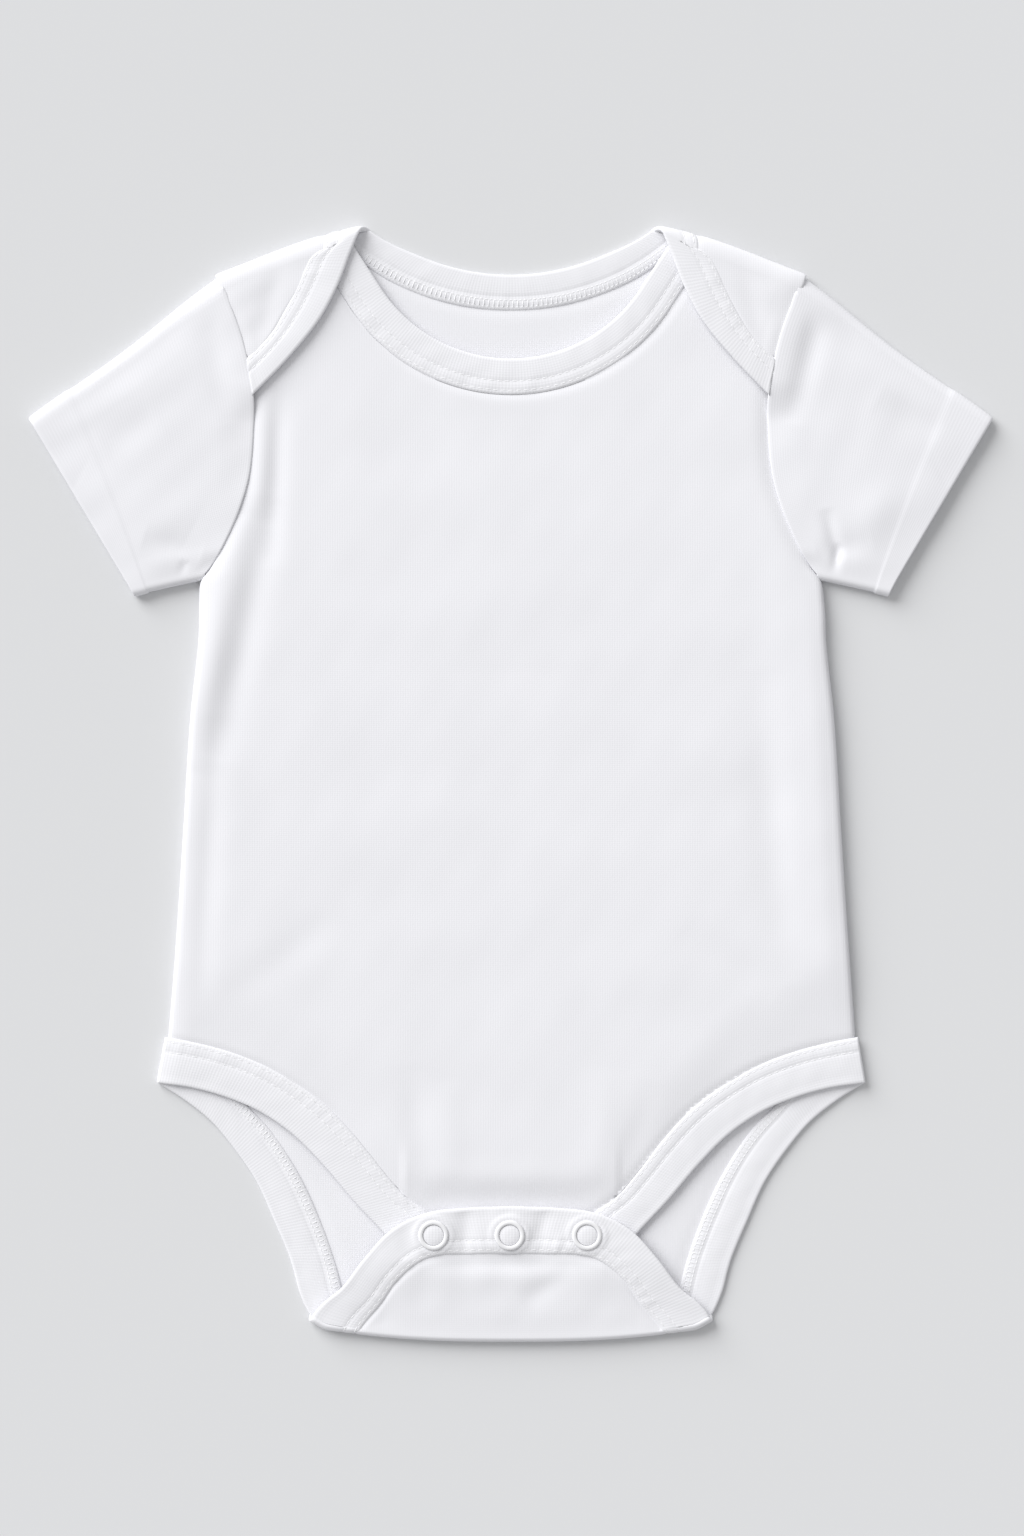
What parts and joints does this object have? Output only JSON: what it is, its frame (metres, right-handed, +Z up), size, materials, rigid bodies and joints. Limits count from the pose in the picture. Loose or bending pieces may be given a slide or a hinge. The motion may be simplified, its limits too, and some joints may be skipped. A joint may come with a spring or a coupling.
{
  "type": "baby onesie",
  "caption": "Short-sleeved baby bodysuit laid flat, with lapped shoulders, bound neck and leg openings, and a snap crotch.",
  "frame": {"origin": "middle of the garment's outline box, on the surface that it lies on", "axes": "+X towards the sleeve on the viewer's right, +Y from the crotch up to the neck, +Z up out of the front"},
  "size_m": [0.3374, 0.3885, 0.0074],
  "materials": {
    "cotton": "matt white cotton interlock",
    "rib": "matt white cotton rib binding",
    "snap": "white enamel, soft gloss"
  },
  "bodies": {
    "root": {"back_panel": "cotton", "front_panel": "cotton", "neckband_back": "rib", "neckband_front": "rib", "sleeve_left": "cotton", "sleeve_right": "cotton", "leg_band_front_left": "rib", "leg_band_front_right": "rib", "leg_band_back": "rib", "snap_cap_left": "snap", "snap_stud_left": "snap", "snap_cap_middle": "snap", "snap_stud_middle": "snap", "snap_cap_right": "snap", "snap_stud_right": "snap"}
  },
  "joints": []
}
